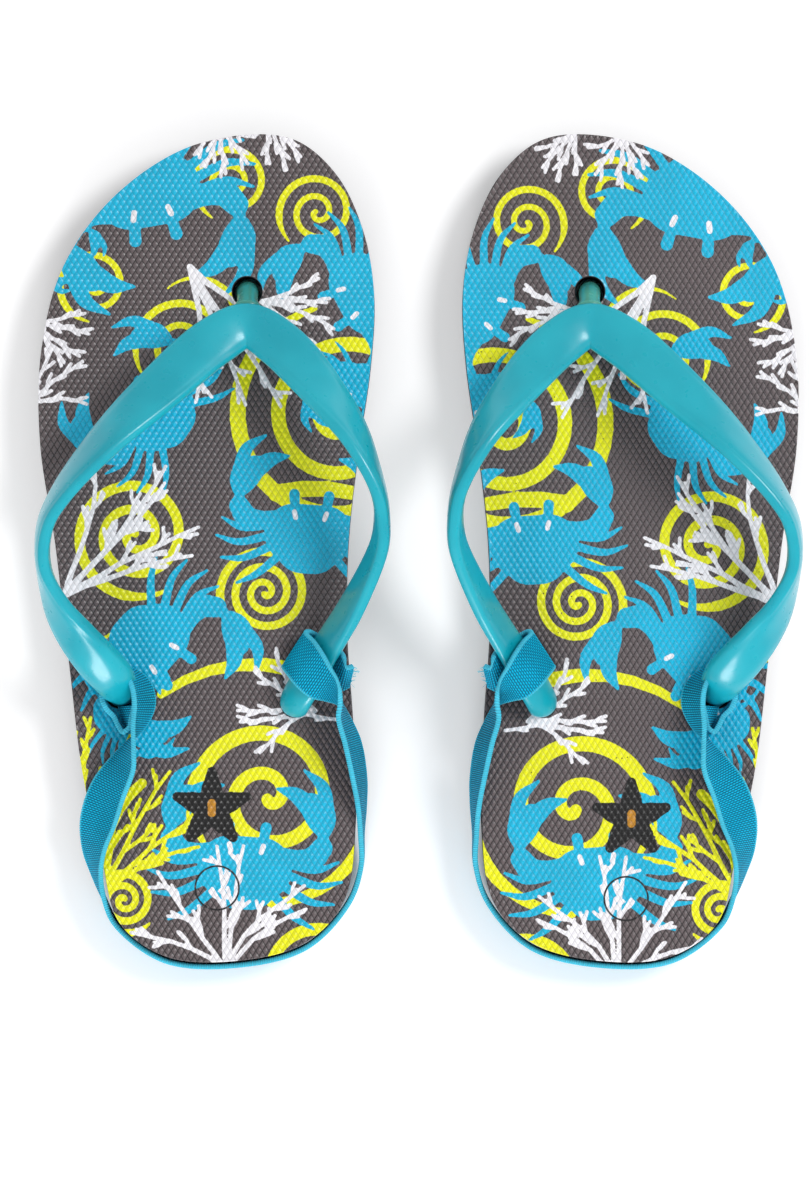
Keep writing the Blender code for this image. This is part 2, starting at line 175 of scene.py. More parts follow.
MEDIAL_LOOP = (
    ((-16.3, -30.4, 23.0), (0.10, 0.45, 0.88), 11.4),
    ((-18.2, -31.0, 24.6), (0.15, 0.50, 0.85), 12.0),
    ((-19.8, -30.0, 24.8), (0.35, 0.68, 0.64), 12.0),
    ((-22.2, -28.4, 21.4), (0.487, 0.815, 0.316), 12.0),
    ((-25.4, -26.2, 18.0), (0.487, 0.815, 0.316), 12.0),
    ((-28.8, -24.2, 18.7), (0.487, 0.80, 0.34), 12.0),
    ((-29.9, -24.2, 21.2), (0.49, 0.74, 0.46), 12.0),
    ((-28.2, -26.2, 24.8), (0.53, 0.74, 0.41), 12.0),
    ((-26.2, -28.8, 27.2), (0.52, 0.72, 0.46), 12.0),
    ((-23.6, -31.8, 27.8), (0.42, 0.62, 0.66), 12.0),
    ((-21.2, -33.6, 26.0), (0.28, 0.43, 0.86), 12.0),
    ((-19.4, -35.6, 23.8), (0.08, 0.24, 0.97), 12.0),
    ((-18.6, -37.8, 22.4), (-0.06, 0.08, 0.99), 12.0),
)
RIB_PITCH = 0.55
YARN_PITCH = 1.15  # between the knots of one rib; the next rib's lie between them
STEPS_PER_RIB = 4
RIB_RELIEF = 0.16
TAPE_ACROSS = (1.0, 0.985, 0.95, 0.90, 0.84, 0.6, 0.36, 0.12)
TAPE_SWELL = (0.0, 0.62, 1.02, 1.06, 0.86, 0.88, 0.90, 0.90)

# Bar tacks: the lower and upper end of each line of stitching, and the way its face looks
BAR_TACKS = {
    "medial": ((-19.6, -33.6, 20.4), (-19.2, -32.9, 28.6), (-0.55, -0.83)),
    "lateral": ((-66.2, -40.8, 16.6), (-67.6, -40.8, 20.2), (0.59, -0.81)),
}
BAR_TACK_WIDTH = 1.7
STITCH_PITCH = 0.42
THREAD_RADIUS = 0.17

# Relief of the foam: rhombi between V grooves
FOOTBED_RHOMBUS = (1.58, 2.56, 0.36)  # width, length, depth
OUTSOLE_RHOMBUS = (4.4, 7.2, 0.5)
CELL_STEPS = 3
RELIEF_AREA = (-95.0, -8.0, 106.0)  # first x, last x and furthest y of any sole's relief

# Print, drawn for the left sandal
PRINT_REACH = 1.2
RIGHT_PRINT_SHIFT = (1.5, 2.6)  # how far the right sandal's print is off the mirror image
SPIRALS = (  # x, y, outer radius, turns, stroke, angle of the outer end, sense
    (-24.6, 82.0, 9.8, 2.2, 1.75, 225, -1),
    (-45.2, 89.2, 9.8, 2.3, 1.75, 240, -1),
    (-78.8, 64.4, 9.0, 2.4, 1.7, 262, -1),
    (-57.0, 49.6, 12.2, 2.2, 1.9, 214, -1),
    (-18.4, 31.9, 27.6, 2.75, 3.9, 104, 1),
    (-68.8, 3.6, 15.4, 2.6, 2.6, 300, -1),
    (-37.3, -10.3, 11.6, 3.0, 2.1, 247, -1),
    (-36.6, -60.1, 19.2, 1.9, 3.8, 218, -1),
    (-71.5, -85.0, 8.4, 2.7, 2.0, 318, -1),
)
ARCS = (  # x, y, radius, first angle, last angle, stroke at both ends
    (-40.0, -66.0, 38.3, 126, 76, 2.0, 3.6),
    (-54.2, 55.9, 10.2, 132, 22, 0.4, 2.2),
    (-24.5, -103.8, 11.8, 60, 178, 3.2, 2.6),
    (-36.6, -60.1, 25.6, -14, -88, 3.6, 2.2),
    (-25.0, -24.0, 39.0, 104, 76, 4.2, 3.4),
    (-90.0, 3.0, 28.0, -52, -80, 0.5, 1.6),
    (-52.0, -76.0, 24.6, 178, 128, 3.4, 2.4),
)
CRABS = (  # x, y, half width, heading of the eyes
    (-65.8, 87.6, 12.6, -80),
    (-12.9, 62.4, 10.2, -152),
    (-62.7, 33.0, 9.6, 146),
    (-26.6, 3.4, 10.6, 86),
    (-65.6, -22.8, 10.8, -42),
    (-42.2, -77.6, 11.2, 86),
    (-73.6, -39.4, 6.2, 4),
    (-13.4, 39.5, 6.6, -112),
    (-88.0, 74.6, 4.8, -44),
)
# A crab looking along +Y, in half widths: strokes of x, y, radius, for the right-hand side
CRAB_BODY = (((-0.34, 0.04, 0.68), (0.34, 0.04, 0.68)), ((-0.14, -0.26, 0.60), (0.14, -0.26, 0.60)))
CRAB_LIMBS = (
    ((0.74, 0.40, 0.15), (1.10, 0.36, 0.15), (1.44, 0.34, 0.25), (1.64, 0.58, 0.23)),
    ((1.64, 0.58, 0.20), (1.66, 0.86, 0.11), (1.64, 1.00, 0.18)),
    ((1.64, 1.00, 0.20), (1.56, 1.26, 0.33), (1.34, 1.50, 0.26)),
    ((1.30, 1.46, 0.22), (0.98, 1.70, 0.16), (0.58, 1.80, 0.03)),
    ((1.68, 1.44, 0.17), (1.56, 1.90, 0.14), (1.14, 2.24, 0.03)),
    ((0.90, 0.20, 0.10), (1.56, 0.10, 0.08), (2.02, 0.30, 0.03)),
    ((0.90, -0.04, 0.10), (1.62, -0.24, 0.08), (2.12, -0.12, 0.03)),
    ((0.84, -0.28, 0.10), (1.48, -0.60, 0.08), (1.98, -0.62, 0.03)),
    ((0.66, -0.50, 0.10), (1.16, -0.96, 0.08), (1.58, -1.18, 0.03)),
    ((0.36, 0.62, 0.10), (0.40, 0.94, 0.12)),
)
CRAB_EYE = ((0.33, 0.40, 0.055), (0.37, 0.54, 0.055))
WHITE_CORALS = (  # x, y, heading, length, spread, bare part, branches, seed
    (-48.6, 104.4, -78, 13.0, 116, 0.2, 5, 3),
    (-36.6, 104.2, -62, 13.0, 70, 0.2, 4, 4),
    (-96.0, 34.0, 52, 19.0, 84, 0.1, 4, 5),
    (-94.0, 56.0, -34, 15.0, 70, 0.2, 4, 6),
    (-55.5, 68.8, -61, 41.0, 40, 0.5, 4, 7),
    (-38.4, 60.4, -16, 19.0, 84, 0.15, 5, 8),
    (-86.0, -11.0, 47, 40.0, 62, 0.3, 5, 9),
    (-19.5, -41.2, 170, 9.0, 0, 0.3, 1, 12),
    (-25.0, -39.0, 168, 21.0, 96, 0.15, 5, 10),
    (-46.8, -102.0, 92, 31.0, 130, 0.3, 6, 11),
)
YELLOW_CORALS = (
    (-77.0, -83.0, 58, 34.0, 84, 0.2, 5, 21),
    (-81.0, -62.0, 92, 22.0, 62, 0.2, 4, 22),
)
CORAL_STEP = 2.6  # between a branch's twigs
CORAL_TWIG = 3.2
CORAL_TIP = 0.42  # half width
CORAL_SWELL = 0.0002  # how much wider a foot is, for each millimetre of length squared
STARFISH = (-50.2, -62.6, 9.8)  # x, y, arm length
FLECKED_SIDE = "right"  # its yellow ink has fine dark flecks
RING = (-48.9, -82.0, 5.3, 0.45)  # x, y, radius, line width

# Camera and studio
VIEW_CENTRE = (-3.4, -12.1)
VIEW_HEIGHT = 291.3  # covered at the height of the sole's top
CAMERA_DISTANCE = 1600.0
SENSOR = 36.0


# ---------------------------------------------------------------- curves and meshes

def smooth_curve(points, per_span, closed=False, axes=3):
    """Points on a centripetal Catmull-Rom curve; the first axes of the given ones set its pace."""
    given = np.array(points, float)
    if closed:
        padded = np.concatenate([given[-1:], given, given[:2]])
    else:
        padded = np.concatenate([[2 * given[0] - given[1]], given, [2 * given[-1] - given[-2]]])
    curve = []
    steps = np.arange(per_span)[:, None] / per_span
    for p0, p1, p2, p3 in zip(padded, padded[1:], padded[2:], padded[3:]):
        spans = ((p0, p1), (p1, p2), (p2, p3))
        gaps = [math.sqrt(np.linalg.norm((b - a)[:axes])) for a, b in spans]
        k1, k2, k3 = np.cumsum(gaps)
        t = k1 + (k2 - k1) * steps
        a1 = (p0 * (k1 - t) + p1 * t) / k1
        a2 = (p1 * (k2 - t) + p2 * (t - k1)) / (k2 - k1)
        a3 = (p2 * (k3 - t) + p3 * (t - k2)) / (k3 - k2)
        b1 = (a1 * (k2 - t) + a2 * t) / k2
        b2 = (a2 * (k3 - t) + a3 * (t - k1)) / (k3 - k1)
        curve.append((b1 * (k2 - t) + b2 * (t - k1)) / (k2 - k1))
    if not closed:
        curve.append(given[-1:])
    return np.concatenate(curve)


DRAWING_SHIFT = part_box("left_footbed")[1].y / MM - smooth_curve(
    OUTLINE, CAD_OUTLINE_STEPS, closed=True, axes=2)[:, 1].max()


def place(points, side):
    """World positions, in metres, of points drawn for the left sandal."""
    world = np.array(points, float).reshape(-1, 3)
    world[:, 0] *= BIG_TOE_SIDE[side]
    world[:, 1] += DRAWING_SHIFT
    return world * MM


def unit(vectors):
    return vectors / np.linalg.norm(vectors, axis=-1, keepdims=True)


class Shell:
    """Collects the faces of one closed surface; its parts share their border points."""

    def __init__(self):
        self.points = []
        self.faces = []
        self.surfaces = []
        self.count = 0

    def add(self, points, faces, surface=0):
        self.points.append(np.array(points, float).reshape(-1, 3))
        self.faces += [[int(i) + self.count for i in face] for face in faces]
        self.surfaces += [surface] * len(faces)
        self.count += len(self.points[-1])

    def wall(self, lower, upper, surface=0):
        """A band of quads between two closed loops of equally many points."""
        n = len(lower)
        faces = [(i, (i + 1) % n, n + (i + 1) % n, n + i) for i in range(n)]
        self.add(np.concatenate([lower, upper]), faces, surface)

    def build(self, name, side, materials):
        """A mesh object with its parts merged and its faces pointing out."""
        mesh = bpy.data.meshes.new(name)
        mesh.from_pydata(place(np.concatenate(self.points), side).tolist(), [], self.faces)
        mesh.polygons.foreach_set("material_index", self.surfaces)
        shape = bmesh.new()
        shape.from_mesh(mesh)
        bmesh.ops.remove_doubles(shape, verts=shape.verts, dist=0.002 * MM)
        bmesh.ops.recalc_face_normals(shape, faces=shape.faces)
        shape.to_mesh(mesh)
        shape.free()
        for material in materials:
            mesh.materials.append(material)
        mesh.shade_smooth()
        obj = bpy.data.objects.new(name, mesh)
        bpy.context.collection.objects.link(obj)
        return obj


def set_attribute(obj, name, values):
    layer = obj.data.attributes.new(name, "FLOAT", "POINT")
    layer.data.foreach_set("value", np.asarray(values, np.float32))


def drawing_points(obj, side):
    """Where a mesh's points lie in the left sandal's drawing."""
    flat = np.zeros(len(obj.data.vertices) * 3, np.float32)
    obj.data.vertices.foreach_get("co", flat)
    points = flat.reshape(-1, 3).astype(float) / MM
    points[:, 0] *= BIG_TOE_SIDE[side]
    points[:, 1] -= DRAWING_SHIFT
    return points


def level_loop(plan, height):
    return np.column_stack([plan, np.full(len(plan), height)])


def circle(centre, radius, height, steps=ROUND_STEPS):
    angles = np.linspace(0, 2 * math.pi, steps, endpoint=False)
    plan = np.column_stack([
        centre[0] + radius * np.cos(angles), centre[1] + radius * np.sin(angles)])
    return level_loop(plan, height)


def filled(loops, inner=None):
    """Triangles over the first loop, with holes at the others, through the inner points."""
    given = np.concatenate([*loops, *([] if inner is None else [inner])])
    edges = []
    start = 0
    for loop in loops:
        n = len(loop)
        edges += [(start + i, start + (i + 1) % n) for i in range(n)]
        start += n
    flat = [Vector(p) for p in given[:, :2].tolist()]
    _, _, faces, sources, _, _ = delaunay_2d_cdt(flat, edges, [], 1, 1e-6, True)
    points = given[[s[0] for s in sources]]
    faces = np.array(faces)
    middles = points[faces].mean(axis=1)[:, :2]
    kept = inside(middles, loops[0][:, :2])
    for hole in loops[1:]:
        centre = hole[:, :2].mean(axis=0)
        radius = np.linalg.norm(hole[0, :2] - centre)
        kept &= np.linalg.norm(middles - centre, axis=1) > radius
    return points, faces[kept]


def inside(points, polygon):
    """Which points lie inside a closed polygon."""
    found = np.zeros(len(points), bool)
    x, y = points.T
    for (x0, y0), (x1, y1) in zip(polygon, np.roll(polygon, -1, axis=0)):
        crossing = (y0 > y) != (y1 > y)
        found ^= crossing & (x < (x1 - x0) * (y - y0) / (y1 - y0 + 1e-12) + x0)
    return found


# ---------------------------------------------------------------- sole

def sole_plan():
    """The sole's outline, and its outward normals."""
    plan = smooth_curve(OUTLINE, OUTLINE_STEPS, closed=True, axes=2)
    along = unit(np.roll(plan, -1, axis=0) - np.roll(plan, 1, axis=0))
    return plan, np.column_stack([-along[:, 1], along[:, 0]])


def relief_points(rhombus, base, sense, border, holes, clearance):
    """Points of a surface of rhombi between V grooves, clear of its border and of its holes."""
    width, length, depth = rhombus
    first_x, last_x, far_y = RELIEF_AREA
    reach = int(4 * far_y / min(width, length)) * CELL_STEPS
    steps = np.arange(-reach, reach + 1)
    a, b = np.meshgrid(steps, steps)
    keep = np.abs(a - b) * length / (2 * CELL_STEPS) < far_y
    a = a[keep]
    b = b[keep]
    x = width * (a + b) / (2 * CELL_STEPS)
    y = length * (a - b) / (2 * CELL_STEPS)
    keep = (x > first_x) & (x < last_x)
    plan = np.column_stack([x, y])[keep]
    groove = ((a % CELL_STEPS == 0) | (b % CELL_STEPS == 0))[keep]
    kept = inside(plan, border)
    for shift in (-clearance, clearance):
        kept &= inside(plan + (shift, 0.0), border) & inside(plan + (0.0, shift), border)
    for centre, radius in holes:
        kept &= np.linalg.norm(plan - centre, axis=1) > radius + clearance
    height = base - sense * depth * groove[kept]
    return np.column_stack([plan[kept], height])


def rounded_border(shell, plan, normals, height, sense):
    """Bands that round a foam edge over; returns its innermost and outermost loops."""
    loops = [level_loop(plan - normals * inset, height - sense * drop) for inset, drop in EDGE]
    for upper, lower in zip(loops, loops[1:]):
        shell.wall(lower, upper)
    return loops[0], loops[-1]


def rounded_hole(shell, centre, radius, height, sense, surface):
    """The same rounding at the rim of a round hole."""
    loops = [circle(centre, radius + inset, height - sense * drop) for inset, drop in EDGE]
    for upper, lower in zip(loops, loops[1:]):
        shell.wall(lower, upper, surface)
    return loops[0], loops[-1]


def add_footbed(side, materials):
    """The printed top layer, with its embossed rhombi."""
    plan, normals = sole_plan()
    shell = Shell()
    rim, edge = rounded_border(shell, plan, normals, SOLE_TOP, 1)
    foot = level_loop(plan, FOOTBED_FLOOR)
    shell.wall(foot, edge, 1)
    top_loops = [rim]
    bottom_loops = [foot]
    holes = []
    for name, centre in HOLES.items():
        radius = HOLE_RADII[name]
        hole_rim, hole_edge = rounded_hole(shell, centre, radius, SOLE_TOP, 1, 1)
        hole_foot = circle(centre, radius, FOOTBED_FLOOR)
        holes.append((centre, radius + EDGE[0][0]))
        shell.wall(hole_foot, hole_edge, 1)
        top_loops.append(hole_rim)
        bottom_loops.append(hole_foot)
    inner = relief_points(FOOTBED_RHOMBUS, SOLE_TOP, 1, plan - normals * EDGE[0][0], holes, 0.14)
    shell.add(*filled(top_loops, inner), 0)
    shell.add(*filled(bottom_loops), 1)
    obj = shell.build(f"{side}_footbed_printed", side, materials)
    plan = drawing_points(obj, side)[:, :2]
    across, along = (plan / FOOTBED_RHOMBUS[:2]).T
    set_attribute(obj, "cell_a", across + along)
    set_attribute(obj, "cell_b", across - along)
    set_print(obj, plan, side)
    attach(obj, f"{side}_sandal")
    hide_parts(f"{side}_footbed")


def add_outsole(side, materials):
    """The lower layer: a shallow tread underneath, and a pocket for each plug."""
    plan, normals = sole_plan()
    shell = Shell()
    rim, edge = rounded_border(shell, plan, normals, 0.0, -1)
    head = level_loop(plan, OUTSOLE_TOP)
    shell.wall(edge, head)
    bottom_loops = [rim]
    top_loops = [head]
    for name, centre in HOLES.items():
        pocket_rim, pocket_edge = rounded_hole(shell, centre, POCKET_RADIUS, 0.0, -1, 0)
        ceiling = circle(centre, POCKET_RADIUS, POCKET_DEPTH)
        hole_foot = circle(centre, HOLE_RADII[name], POCKET_DEPTH)
        hole_head = circle(centre, HOLE_RADII[name], OUTSOLE_TOP)
        shell.wall(pocket_edge, ceiling)
        shell.wall(ceiling, hole_foot)
        shell.wall(hole_foot, hole_head)
        bottom_loops.append(pocket_rim)
        top_loops.append(hole_head)
    holes = [(centre, POCKET_RADIUS + EDGE[0][0]) for centre in HOLES.values()]
    inner = relief_points(OUTSOLE_RHOMBUS, 0.0, -1, plan - normals * EDGE[0][0], holes, 0.4)
    shell.add(*filled(bottom_loops, inner))
    shell.add(*filled(top_loops))
    obj = shell.build(f"{side}_outsole_foam", side, materials)
    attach(obj, f"{side}_sandal")
    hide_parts(f"{side}_outsole")


# ---------------------------------------------------------------- print

def arc_stroke(x, y, radius, first, last, thick_first, thick_last, end_radius=None):
    """A stroke along an arc, or along a spiral if its radius changes."""
    count = max(3, int(abs(last - first) / 9))
    end_radius = radius if end_radius is None else end_radius
    stroke = []
    for i in range(count + 1):
        part = i / count
        angle = math.radians(first + (last - first) * part)
        r = radius + (end_radius - radius) * part
        half = (thick_first + (thick_last - thick_first) * part) / 2
        stroke.append((x + r * math.cos(angle), y + r * math.sin(angle), half))
    return stroke


def spiral_strokes():
    strokes = []
    for x, y, radius, turns, stroke, start, sense in SPIRALS:
        swelling = start + sense * 40
        finish = start + sense * 360 * turns
        shrink = radius * (1 - 40 / (360 * turns))
        strokes.append(arc_stroke(x, y, radius, start, swelling, 0.3 * stroke, stroke, shrink))
        strokes.append(arc_stroke(x, y, shrink, swelling, finish, stroke, 0.74 * stroke, 0.4))
    strokes += [arc_stroke(*arc) for arc in ARCS]
    return strokes


def turned(stroke, x, y, size, heading, mirror=1):
    """A stroke drawn in half widths, looking along +Y, put in its place."""
    c = math.cos(math.radians(heading - 90)) * size
    s = math.sin(math.radians(heading - 90)) * size
    return [
        (x + u * mirror * c - v * s, y + u * mirror * s + v * c, r * size) for u, v, r in stroke]


def bent(stroke):
    """The same stroke, rounded where it bends."""
    return smooth_curve(stroke, 5, axes=2).tolist() if len(stroke) > 2 else stroke


def crab_strokes():
    strokes = []
    for crab in CRABS:
        strokes += [turned(part, *crab) for part in CRAB_BODY]
        strokes += [turned(bent(part), *crab, mirror) for part in CRAB_LIMBS for mirror in (1, -1)]
    return strokes


def eye_strokes():
    return [turned(CRAB_EYE, *crab, mirror) for crab in CRABS for mirror in (1, -1)]


def grow(strokes, chance, start, heading, bend, length, bare, half_width, depth):
    """A coral's branch: it bends as it grows and puts out a twig to each side in turn."""
    x, y = start
    stroke = [(x, y, half_width)]
    steps = max(2, round(length / CORAL_STEP / depth)) if depth else 2
    for i in range(1, steps + 1):
        heading += bend / steps + chance.uniform(-8, 8)
        x += length / steps * math.cos(math.radians(heading))
        y += length / steps * math.sin(math.radians(heading))
        half = half_width + (CORAL_TIP - half_width) * i / steps
        stroke.append((x, y, half))
        rest = length * (1 - i / steps)
        if depth and rest > 0 and length - rest > bare:
            turn = chance.uniform(30, 44) * (1 if i % 2 else -1)
            twig = CORAL_TWIG * chance.uniform(0.8, 1.1)
            if depth > 1:
                twig = max(twig, rest * chance.uniform(0.28, 0.42))
            grow(strokes, chance, (x, y), heading + turn, -turn * 0.5, twig, 0.3 * twig,
                 min(half, 1.2 * CORAL_TIP), depth - 1)
    strokes.append(stroke)


def coral_strokes(corals):
    """Fans of branches that part at the foot of a coral."""
    strokes = []
    for x, y, heading, length, spread, bare, branches, seed in corals:
        chance = random.Random(seed)
        half_width = CORAL_TIP + CORAL_SWELL * length ** 2
        for i in range(branches):
            part = (i + 0.5) / branches - 0.5
            reach = length * (1 - 0.8 * part * part + chance.uniform(-0.12, 0.02))
            turn = spread * part
            grow(strokes, chance, (x, y), heading + turn * 0.7, turn * 0.6, reach, bare * length,
                 half_width, 2 if length > 22 else 1)
    return strokes


def starfish_strokes():
    x, y, arm = STARFISH
    strokes = []
    for i in range(5):
        angle = math.radians(90 + 72 * i)
        strokes.append([
            (x, y, arm * 0.34),
            (x + arm * 0.5 * math.cos(angle), y + arm * 0.5 * math.sin(angle), arm * 0.25),
            (x + arm * 0.9 * math.cos(angle), y + arm * 0.9 * math.sin(angle), arm * 0.12),
        ])
    return strokes


def ink_distance(points, strokes):
    """How far each point lies outside the nearest stroke; negative inside it."""
    found = np.full(len(points), PRINT_REACH)
    order = np.argsort(points[:, 1])
    ys = points[order, 1]
    for stroke in strokes:
        for (x0, y0, r0), (x1, y1, r1) in zip(stroke, stroke[1:]):
            margin = max(r0, r1) + PRINT_REACH
            first = np.searchsorted(ys, min(y0, y1) - margin)
            last = np.searchsorted(ys, max(y0, y1) + margin)
            near = order[first:last]
            near = near[np.abs(points[near, 0] - (x0 + x1) / 2) < abs(x1 - x0) / 2 + margin]
            dx = x1 - x0
            dy = y1 - y0
            px = points[near, 0] - x0
            py = points[near, 1] - y0
            t = np.clip((px * dx + py * dy) / max(dx * dx + dy * dy, 1e-9), 0, 1)
            distance = np.hypot(px - t * dx, py - t * dy) - (r0 + (r1 - r0) * t)
            found[near] = np.minimum(found[near], distance)
    return found


INK_STROKES = {
    "ink_spiral": spiral_strokes(),
    "ink_crab": crab_strokes(),
    "ink_weed": coral_strokes(YELLOW_CORALS),
    "ink_coral": coral_strokes(WHITE_CORALS) + eye_strokes(),
    "ink_star": starfish_strokes(),
    "ink_dot": [[(STARFISH[0], STARFISH[1] - 1.2, 1.0), (STARFISH[0], STARFISH[1] + 1.2, 1.0)]],
}


def set_print(obj, plan, side):
    """Stores the distance to each ink and to the ring, and where ink is flecked, on a footbed."""
    shift = np.array(RIGHT_PRINT_SHIFT if side == "right" else (0.0, 0.0))
    printed = plan + shift
    for name, strokes in INK_STROKES.items():
        set_attribute(obj, name, ink_distance(printed, strokes))
    set_attribute(obj, "ring_x", printed[:, 0] - RING[0])
    set_attribute(obj, "ring_y", printed[:, 1] - RING[1])
    set_attribute(obj, "flecked", np.full(len(plan), side == FLECKED_SIDE))


# ---------------------------------------------------------------- strap, post and plugs

def across_directions(stations):
    """Each station's width direction: level and to the left of the path, then rolled."""
    headings = []
    for i in range(len(stations)):
        before = stations[max(i - 1, 0)]
        after = stations[min(i + 1, len(stations) - 1)]
        run = Vector((after[0] - before[0], after[1] - before[1]))
        headings.append(run.normalized() if run.length > UPRIGHT_RUN else None)
    for order in (range(1, len(headings)), range(len(headings) - 2, -1, -1)):
        for i in order:
            headings[i] = headings[i] or headings[i - order.step]
    found = []
    for heading, station in zip(headings, stations):
        roll = math.radians(station[-1])
        level = Vector((-heading.y, heading.x, 0.0))
        found.append(level * math.cos(roll) - Vector((0.0, 0.0, math.sin(roll))))
    return found


class Ribbon:
    """Centre, width direction, face normal, width and thickness along a twisting ribbon.

    Its sections are square to its path, or keep the width directions that its rows give.
    """

    def __init__(self, rows, per_span, spacing=None, square=True):
        curve = smooth_curve(rows, per_span)
        if spacing:
            length = self.lengths(curve)
            even = np.arange(0.0, length[-1], spacing)
            curve = np.column_stack([np.interp(even, length, column) for column in curve.T])
        self.centre = curve[:, :3]
        self.along = self.lengths(curve)
        self.tangent = unit(np.gradient(self.centre, axis=0))
        side = curve[:, 3:6]
        if square:
            side = side - self.tangent * (side * self.tangent).sum(axis=1, keepdims=True)
        self.side = unit(side)
        self.face = unit(np.cross(self.tangent, self.side))
        self.width = curve[:, 6]
        self.thickness = curve[:, 7]

    @staticmethod
    def lengths(curve):
        steps = np.linalg.norm(np.diff(curve[:, :3], axis=0), axis=1)
        return np.concatenate([[0.0], np.cumsum(steps)])

    def loft(self, u, v):
        """A closed tube from offsets along the width and the face normal, one row per station."""
        rings = (self.centre[:, None] + self.side[:, None] * u[..., None]
                 + self.face[:, None] * v[..., None])
        rows, count = u.shape
        shell = Shell()
        start = np.arange(rows - 1)[:, None] * count
        i = np.arange(count)
        k = (i + 1) % count
        quads = np.stack([start + i, start + k, start + k + count, start + i + count], axis=-1)
        faces = quads.reshape(-1, 4).tolist()
        faces.append(list(range(count))[::-1])
        faces.append(list(range((rows - 1) * count, rows * count)))
        shell.add(rings, faces)
        return shell


def rolled_rows(stations):
    """Rows for a Ribbon from stations of x, y, z, width, thickness, roll."""
    return [(*s[:3], *a, s[3], s[4]) for s, a in zip(stations, across_directions(stations))]


def squircle(sides, squareness):
    """A rounded rectangle's points, from -1 to 1 both ways."""
    angle = 2 * np.pi * (np.arange(sides) + 0.5) / sides
    c = np.cos(angle)
    s = np.sin(angle)
    power = 2 / squareness
    return np.sign(c) * np.abs(c) ** power, np.sign(s) * np.abs(s) ** power


def add_strap(side, material):
    """The moulded V strap: crowned outside, with a fine bead along its edges and a parting line."""
    ribbon = Ribbon(rolled_rows((*LATERAL_LEG, APEX, *MEDIAL_LEG)), STRAP_STEPS)
    from_end = np.minimum(ribbon.along, ribbon.along[-1] - ribbon.along)
    flat = np.clip((from_end - ROUND_END[0]) / (ROUND_END[1] - ROUND_END[0]), 0, 1)[:, None]
    oval = squircle(STRAP_SIDES, ROUND)
    boxy = squircle(STRAP_SIDES, STRAP_SQUARENESS)
    u, v = [a + (b - a) * flat for a, b in zip(oval, boxy)]
    half_width = ribbon.width[:, None] / 2
    half_thickness = ribbon.thickness[:, None] / 2
    flatness = np.clip((ribbon.width / ribbon.thickness - 1)[:, None], 0, 1) * flat
    crown = 0.34 * flatness * np.clip(1 - u ** 2, 0, 1) * (v > 0)
    bead = 0.10 * flatness * np.exp(-((np.abs(u) - 0.90) / 0.05) ** 2) * np.sign(v)
    groove = -0.12 * flatness * np.exp(-((np.abs(u) - 0.78) / 0.045) ** 2) * (v > 0)
    parting = 0.07 * np.exp(-(v / 0.12) ** 2) * np.sign(u)
    shell = ribbon.loft(u * half_width + parting, v * half_thickness + crown + bead + groove)
    obj = shell.build(f"{side}_strap_moulding", side, [material])
    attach(obj, f"{side}_sandal")
    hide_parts(f"{side}_thong_strap")


def add_toe_post(side, material):
    """The post between the toes, flared where it runs into the strap."""
    ribbon = Ribbon(rolled_rows(TOE_POST), STRAP_STEPS)
    u, v = squircle(POST_SIDES, ROUND)
    shell = ribbon.loft(u * ribbon.width[:, None] / 2, v * ribbon.thickness[:, None] / 2)
    obj = shell.build(f"{side}_toe_post_moulding", side, [material])
    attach(obj, f"{side}_sandal")
    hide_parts(f"{side}_toe_post")


PLUG_PROFILE = (  # radius and height of a plug's surface, from its underside's middle to its top
    (0.9, 0.95), (1.5, 0.62), (2.4, 0.58), (2.9, 0.86), (3.5, 0.86), (4.0, 0.56), (7.3, 0.52),
    (8.1, 0.68), (8.5, 1.05), (PLUG_RADIUS, 1.6), (PLUG_RADIUS, 2.5), (8.4, 3.0), (7.9, 3.25),
    (3.0, 3.3),
)


def add_plugs(side, material):
    """Moulded discs under the sole, each with a ring and a gate mark in its middle."""
    for name, centre in HOLES.items():
        loops = [circle(centre, radius, height) for radius, height in PLUG_PROFILE]
        shell = Shell()
        for lower, upper in zip(loops, loops[1:]):
            shell.wall(lower, upper)
        for loop in (loops[0], loops[-1]):
            shell.add(loop, [range(ROUND_STEPS)])
        obj = shell.build(f"{side}_{name}_plug_moulding", side, [material])
        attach(obj, f"{side}_sandal")
        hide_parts(f"{side}_{name}_plug")


# ---------------------------------------------------------------- elastic

def heel_rows():
    """The tape's path from its lateral pivot round the heel to its medial pivot."""
    tape = (TAPE_WIDTH, TAPE_THICKNESS)
    stations = [(*LATERAL_PIVOT, *tape, -76)]
    stations += [(*s[:3], *tape, s[3]) for s in LATERAL_RUN]
    offset = HEEL_CLEARANCE + TAPE_THICKNESS / 2
    for i in HEEL_POINTS:
        along = (Vector(OUTLINE[i + 1]) - Vector(OUTLINE[i - 1])).normalized()
        point = Vector(OUTLINE[i]) + Vector((-along.y, along.x)) * offset
        stations.append((*point, HEEL_HEIGHT, *tape, -90))
    stations += [(*s[:3], *tape, s[3]) for s in MEDIAL_RUN]
    stations.append((*MEDIAL_PIVOT, *tape, -80))
    return rolled_rows(stations)


def loop_rows(loop):
    return [(*middle, *across, width, TAPE_THICKNESS) for middle, across, width in loop]


